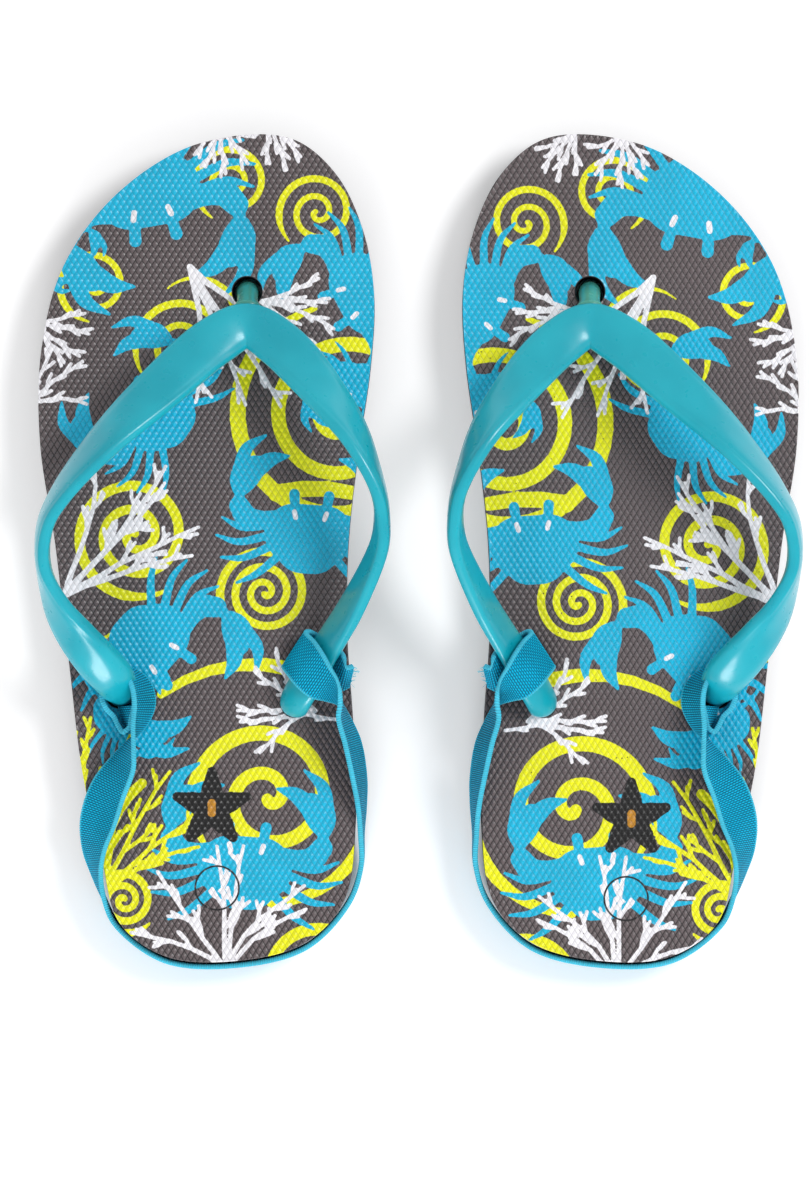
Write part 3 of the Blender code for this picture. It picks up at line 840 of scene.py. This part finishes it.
def add_elastic(side, material):
    """One woven tape: looped round the lateral leg, round the heel, looped round the medial leg."""
    rows = [*loop_rows(LATERAL_LOOP), *heel_rows(), *reversed(loop_rows(MEDIAL_LOOP))]
    ribbon = Ribbon(rows, 16, RIB_PITCH / STEPS_PER_RIB, square=False)
    across = np.array([*TAPE_ACROSS, *[-a for a in reversed(TAPE_ACROSS)]])
    swell = np.array([*TAPE_SWELL, *reversed(TAPE_SWELL)])
    u = np.concatenate([across, across[-2:0:-1]])
    v = np.concatenate([swell, -swell[-2:0:-1]])
    phase = 2 * np.pi * ribbon.along / RIB_PITCH
    rib = np.cos(phase)[:, None]
    web = np.where(np.abs(u) < 0.88, 1.0, 0.35)
    thick = v * ribbon.thickness[:, None] / 2 * (1 + RIB_RELIEF * rib * web)
    wide = u * ribbon.width[:, None] / 2 * (1 + 0.008 * rib)
    shell = ribbon.loft(wide, thick)
    name = f"{side}_elastic_tape"
    obj = shell.build(name, side, [material])
    count = len(u)
    stations = len(ribbon.along)
    if len(obj.data.vertices) != count * stations:
        raise ValueError(f"{name}: points were merged")
    set_attribute(obj, "along", np.repeat(ribbon.along, count))
    set_attribute(obj, "across", (u * ribbon.width[:, None] / 2).ravel())
    set_attribute(obj, "edge", np.tile(np.abs(u), stations))
    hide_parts(f"{side}_heel_band", f"{side}_medial_loop", f"{side}_lateral_loop")
    pivots = place([LATERAL_PIVOT, MEDIAL_PIVOT], side)
    axis = Vector(pivots[0] - pivots[1])
    back = Vector((-axis.y, axis.x, 0.0)).normalized()
    back = back if back.y < 0 else -back
    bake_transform(obj)


def tube(path, radius, sides=7):
    """A thin round tube along a path."""
    path = np.array(path, float)
    tangent = unit(np.gradient(path, axis=0))
    helper = np.where(np.abs(tangent[:, 2:3]) < 0.8, [[0.0, 0.0, 1.0]], [[1.0, 0.0, 0.0]])
    side = unit(np.cross(tangent, helper))
    face = np.cross(tangent, side)
    angle = np.linspace(0, 2 * np.pi, sides, endpoint=False)
    radius = np.broadcast_to(radius, len(path))[:, None, None]
    rings = path[:, None] + radius * (
        side[:, None] * np.cos(angle)[:, None] + face[:, None] * np.sin(angle)[:, None])
    faces = []
    for j in range(len(path) - 1):
        for i in range(sides):
            k = (i + 1) % sides
            faces.append((j * sides + i, j * sides + k, (j + 1) * sides + k, (j + 1) * sides + i))
    faces.append(tuple(range(sides))[::-1])
    faces.append(tuple(range((len(path) - 1) * sides, len(path) * sides)))
    return rings, faces


def add_bar_tacks(side, material):
    """Zigzag stitching that closes each loop of tape."""
    for name, (low, high, face) in BAR_TACKS.items():
        low = np.array(low)
        high = np.array(high)
        face = np.array((*face, 0.0))
        across = unit(np.cross(face, high - low)) * BAR_TACK_WIDTH / 2
        count = int(np.linalg.norm(high - low) / STITCH_PITCH * 2)
        corners = []
        for i in range(count + 1):
            base = low + (high - low) * i / count
            corners.append(base + across * (1 if i % 2 else -1) + face * 0.12)
        shell = Shell()
        shell.add(*tube(smooth_curve(corners, 4), THREAD_RADIUS))
        obj = shell.build(f"{side}_{name}_stitching", side, [material])
        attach(obj, f"{side}_sandal")
        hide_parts(f"{side}_{name}_bar_tack")


def add_fibres(side, material):
    """Frayed ends of yarn on the tape's tail beside the medial leg."""
    chance = random.Random(5)
    middle = np.array(MEDIAL_LOOP[0][0])
    across = unit(np.array(MEDIAL_LOOP[0][1]))
    shell = Shell()
    for _ in range(26):
        start = middle + across * chance.uniform(-5.2, 5.2) + np.array((-0.2, 0.0, 0.0))
        lift = np.array((
            chance.uniform(0.6, 2.2), chance.uniform(-0.9, 0.7), chance.uniform(-0.8, 0.8)))
        curl = np.array([chance.uniform(-0.6, 0.6) for _ in range(3)])
        path = smooth_curve([start, start + lift * 0.5 + curl * 0.5, start + lift + curl], 4)
        shell.add(*tube(path, 0.055, 5))
    obj = shell.build(f"{side}_tape_fibres", side, [material])
    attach(obj, f"{side}_sandal")


# ---------------------------------------------------------------- materials

def colour(red, green, blue):
    """A shader colour from 8-bit screen values."""
    linear = []
    for value in (red / 255, green / 255, blue / 255):
        linear.append(value / 12.92 if value <= 0.04045 else ((value + 0.055) / 1.055) ** 2.4)
    return (*linear, 1.0)


class Surface:
    """A material's node tree, with short ways to add and link nodes."""

    def __init__(self, name):
        self.material = bpy.data.materials.new(name)
        self.material.use_nodes = True
        self.tree = self.material.node_tree
        self.shader = self.tree.nodes["Principled BSDF"]

    def put(self, socket, value):
        if isinstance(value, bpy.types.NodeSocket):
            self.tree.links.new(value, socket)
        else:
            socket.default_value = value

    def add(self, kind, inputs, **settings):
        node = self.tree.nodes.new("ShaderNode" + kind)
        for key, value in settings.items():
            setattr(node, key, value)
        for key, value in inputs.items():
            self.put(node.inputs[key], value)
        return node

    def finish(self, **inputs):
        for key, value in inputs.items():
            self.put(self.shader.inputs[key.replace("_", " ")], value)
        return self.material

    def attribute(self, name):
        return self.add("Attribute", {}, attribute_name=name).outputs["Fac"]

    def math(self, operation, *values):
        node = self.add("Math", dict(enumerate(values)), operation=operation)
        return node.outputs[0]

    def ramp(self, value, low, high, to_low=0.0, to_high=1.0, smooth=True):
        """A value brought from one range to another, and held at its ends."""
        node = self.add("MapRange", {0: value, 1: low, 2: high, 3: to_low, 4: to_high})
        node.interpolation_type = "SMOOTHSTEP" if smooth else "LINEAR"
        return node.outputs[0]

    def noise(self, size, detail=3.0, stretch=(1.0, 1.0, 1.0)):
        """Noise with features of about this size, in millimetres."""
        place_node = self.add("TexCoord", {})
        scaled = self.add("Mapping", {"Vector": place_node.outputs["Object"], "Scale": stretch})
        texture = self.add("TexNoise", {
            "Vector": scaled.outputs[0], "Scale": 1 / (size * MM), "Detail": detail})
        return texture.outputs["Fac"]

    def cells(self, size):
        """Distance from the nearest cell centre, for foam pores, from 0 to about 1."""
        place_node = self.add("TexCoord", {})
        texture = self.add("TexVoronoi", {
            "Vector": place_node.outputs["Object"], "Scale": 1 / (size * MM)})
        return texture.outputs["Distance"]

    def mix(self, factor, a, b, blend="MIX"):
        node = self.add("Mix", {0: factor, 6: a, 7: b}, data_type="RGBA", blend_type=blend)
        return node.outputs[2]

    def shade(self, base, amount):
        """A colour multiplied by a grey value."""
        return self.mix(1.0, base, amount, "MULTIPLY")

    def bump(self, height, distance, strength=1.0):
        node = self.add("Bump", {
            "Height": height, "Distance": distance * MM, "Strength": strength})
        return node.outputs[0]


def printed_material():
    """Grey ink on dark foam, with the coloured prints over it, painted darker in the grooves as shade;
    each rhombus rises to its middle.
    """
    s = Surface("printed_foam")
    to_grooves = [s.math("PINGPONG", s.attribute(name), 0.5) for name in ("cell_a", "cell_b")]
    crest = s.math("MINIMUM", *to_grooves)
    cover = s.ramp(crest, 0.01, 0.15)
    patchy = s.noise(9.0)
    fine = s.noise(0.45)
    worn = s.ramp(s.math("ADD", s.noise(0.7), s.math("MULTIPLY", cover, 0.3)), 0.36, 0.56)
    base = s.mix(s.math("MULTIPLY", cover, worn), colour(34, 30, 32), colour(97, 87, 89))
    flecks = s.math("MULTIPLY", s.ramp(s.cells(2.1), 0.10, 0.07), s.attribute("flecked"))
    yellow = colour(236, 236, 6)
    inks = (
        ("ink_spiral", s.mix(flecks, yellow, colour(60, 56, 30))),
        ("ink_crab", colour(0, 180, 218)),
        ("ink_weed", yellow),
        ("ink_coral", colour(240, 238, 243)),
        ("ink_star", colour(13, 12, 14)),
        ("ink_dot", colour(190, 132, 36)),
    )
    # Painted shade: the coloured inks are darkened in the grooves between the rhombi; the patchy part
    # of the tone is random.
    painted_groove_shade = s.ramp(cover, 0.0, 1.0, 0.74, 1.0)
    tone_and_painted_shade = s.math("MULTIPLY", painted_groove_shade, s.ramp(patchy, 0.3, 0.7, 0.94, 1.04))
    wander = s.math("MULTIPLY", s.math("SUBTRACT", fine, 0.5), 0.3)
    for name, ink in inks:
        ragged = s.math("ADD", s.attribute(name), wander)
        base = s.mix(s.ramp(ragged, 0.05, -0.05), base, s.shade(ink, tone_and_painted_shade))
    x = s.attribute("ring_x")
    y = s.attribute("ring_y")
    radius = s.math("SQRT", s.math("ADD", s.math("MULTIPLY", x, x), s.math("MULTIPLY", y, y)))
    off_line = s.math("ABSOLUTE", s.math("SUBTRACT", radius, RING[2]))
    base = s.mix(s.ramp(off_line, RING[3] / 2 + 0.06, RING[3] / 2 - 0.06), base, colour(22, 20, 24))
    height = s.math("ADD", s.ramp(crest, 0.0, 0.5, smooth=False), s.math("MULTIPLY", fine, 0.12))
    return s.finish(
        Base_Color=base,
        Roughness=s.ramp(fine, 0.2, 0.8, 0.24, 0.34),
        Specular_IOR_Level=0.46,
        Normal=s.bump(height, 0.12, 1.0),
    )


def foam_material():
    """Charcoal closed-cell foam, cut by a die: fine pores, painted darker in their pits as shade, and
    faint upright drag lines.
    """
    s = Surface("dark_foam")
    pores = s.cells(0.5)
    drag = s.noise(0.6, 2.0, (1.0, 1.0, 0.05))
    patchy = s.noise(7.0)
    # Painted shade: darker in the pores' pits; the patchy part is random tone.
    tone_and_painted_shade = s.math("ADD", s.math("MULTIPLY", pores, 0.22), s.math("MULTIPLY", patchy, 0.5))
    base = s.mix(tone_and_painted_shade, colour(40, 38, 41), colour(74, 71, 75))
    height = s.math("ADD", s.math("MULTIPLY", pores, 0.7), s.math("MULTIPLY", drag, 0.6))
    return s.finish(
        Base_Color=base, Roughness=s.ramp(patchy, 0.2, 0.8, 0.66, 0.84),
        Specular_IOR_Level=0.35, Normal=s.bump(height, 0.09, 0.6))


def pvc_material(name, deep, light, roughness, see_through=0.0):
    """Soft moulded PVC: waxy, faintly uneven in colour, with a fine orange-peel surface."""
    s = Surface(name)
    patchy = s.noise(16.0, 2.0)
    peel = s.noise(2.2, 1.0)
    base = s.mix(s.ramp(patchy, 0.3, 0.7), deep, light)
    return s.finish(
        Base_Color=base,
        Roughness=s.ramp(peel, 0.25, 0.75, roughness - 0.03, roughness + 0.04),
        Specular_IOR_Level=0.36,
        Subsurface_Weight=0.3,
        Subsurface_Radius=(0.35, 1.0, 1.0),
        Subsurface_Scale=1.2 * MM,
        Transmission_Weight=see_through,
        Coat_Weight=0.3,
        Coat_Roughness=0.14,
        Normal=s.bump(peel, 0.02, 0.2),
    )


def elastic_material():
    """Woven elastic: knots in brick order along each rib, painted darker between ribs and knots as
    shade and lighter on the knots as light, pale selvedges.
    """
    s = Surface("woven_elastic")
    along = s.attribute("along")
    across = s.attribute("across")
    edge = s.attribute("edge")
    turn = s.math("MULTIPLY", along, 2 * math.pi / RIB_PITCH)
    rib = s.math("ADD", s.math("MULTIPLY", s.math("COSINE", turn), 0.5), 0.5)
    row = s.math("FLOOR", s.math("DIVIDE", s.math("ADD", along, RIB_PITCH / 2), RIB_PITCH))
    shift = s.math("MULTIPLY", s.math("MODULO", row, 2.0), math.pi)
    yarn = s.math("ADD", s.math("MULTIPLY", across, 2 * math.pi / YARN_PITCH), shift)
    knot = s.math("ADD", s.math("MULTIPLY", s.math("SINE", yarn), 0.5), 0.5)
    raised = s.math("ADD", s.math("MULTIPLY", knot, 0.6), 0.4)
    height = s.math("MULTIPLY", s.math("POWER", rib, 0.7), raised)
    fuzz = s.noise(0.25)
    patchy = s.noise(6.0)
    selvedge = s.ramp(edge, 0.83, 0.93)
    # Painted shade and light: the colour goes from dark in the weave's hollows to light on its raised
    # knots.
    web = s.mix(s.ramp(height, 0.1, 0.8), colour(0, 98, 132), colour(0, 190, 228))
    base = s.mix(s.math("MULTIPLY", selvedge, 0.7), web, colour(84, 202, 228))
    base = s.shade(base, s.ramp(s.math("ADD", fuzz, patchy), 0.7, 1.3, 0.9, 1.08))
    return s.finish(
        Base_Color=base,
        Roughness=s.ramp(fuzz, 0.2, 0.8, 0.62, 0.84),
        Specular_IOR_Level=0.12,
        Sheen_Weight=0.03,
        Normal=s.bump(s.math("ADD", height, s.math("MULTIPLY", fuzz, 0.3)), 0.14, 0.9),
    )


def thread_material():
    """Polyester sewing thread, with its twist."""
    s = Surface("sewing_thread")
    twist = s.noise(0.22, 2.0)
    base = s.mix(twist, colour(70, 190, 215), colour(140, 226, 238))
    return s.finish(
        Base_Color=base, Roughness=s.ramp(twist, 0.2, 0.8, 0.45, 0.65), Sheen_Weight=0.3,
        Normal=s.bump(twist, 0.05, 0.6))


def floor_material():
    s = Surface("studio_floor")
    return s.finish(
        Base_Color=s.mix(s.noise(140.0), colour(250, 250, 251), colour(253, 253, 254)),
        Roughness=0.9, Specular_IOR_Level=0.1,
        Emission_Color=(1.0, 1.0, 1.0, 1.0), Emission_Strength=0.14)


# ---------------------------------------------------------------- camera and studio

def add_studio():
    """A pale floor, a soft key high on the right, a window behind the heels and a white room."""
    scene = bpy.context.scene
    bpy.ops.mesh.primitive_plane_add(size=4.0, location=(0.0, 0.0, -0.0002))
    floor = bpy.context.object
    floor.name = "studio_floor"
    floor.data.materials.append(floor_material())
    target = Vector((VIEW_CENTRE[0] * MM, VIEW_CENTRE[1] * MM, 0.0))
    lamps = (  # name, position, size, power
        ("key", (0.56, 0.30, 0.92), 0.36, 5.2),
        ("window", (-0.14, -0.96, 0.38), 0.44, 5.6),
    )
    for name, position, size, power in lamps:
        lamp = bpy.data.lights.new(name, "AREA")
        lamp.shape = "DISK"
        lamp.size = size
        lamp.energy = power
        holder = bpy.data.objects.new(name, lamp)
        holder.location = position
        holder.rotation_euler = (Vector(position) - target).to_track_quat("Z", "Y").to_euler()
        scene.collection.objects.link(holder)
    world = bpy.data.worlds.new("white_room")
    world.use_nodes = True
    background = world.node_tree.nodes["Background"]
    background.inputs["Color"].default_value = (1.0, 1.0, 1.0, 1.0)
    background.inputs["Strength"].default_value = 0.68
    scene.world = world
    scene.view_settings.view_transform = "Standard"


def add_camera():
    data = bpy.data.cameras.new("camera")
    data.sensor_width = SENSOR
    data.lens = SENSOR * CAMERA_DISTANCE / VIEW_HEIGHT
    camera = bpy.data.objects.new("camera", data)
    camera.location = Vector((
        VIEW_CENTRE[0], VIEW_CENTRE[1] + DRAWING_SHIFT, SOLE_TOP + CAMERA_DISTANCE)) * MM
    bpy.context.scene.collection.objects.link(camera)
    bpy.context.scene.camera = camera


def main():
    add_camera()
    add_studio()
    printed = printed_material()
    foam = foam_material()
    strap = pvc_material("strap_pvc", colour(6, 160, 178), colour(22, 172, 189), 0.30)
    # The post's deep and light colours are its shaded and its lit side: painted shade and light,
    # spread in random patches.
    post = pvc_material("post_pvc", colour(46, 140, 132), colour(98, 184, 162), 0.24, 0.12)
    plug = pvc_material("plug_pvc", colour(34, 156, 174), colour(52, 172, 188), 0.40)
    elastic = elastic_material()
    thread = thread_material()
    for side in BIG_TOE_SIDE:
        add_footbed(side, [printed, foam])
        add_outsole(side, [foam])
        add_strap(side, strap)
        add_toe_post(side, post)
        add_plugs(side, plug)
        add_elastic(side, elastic)
        add_bar_tacks(side, thread)
        add_fibres(side, thread)


main()
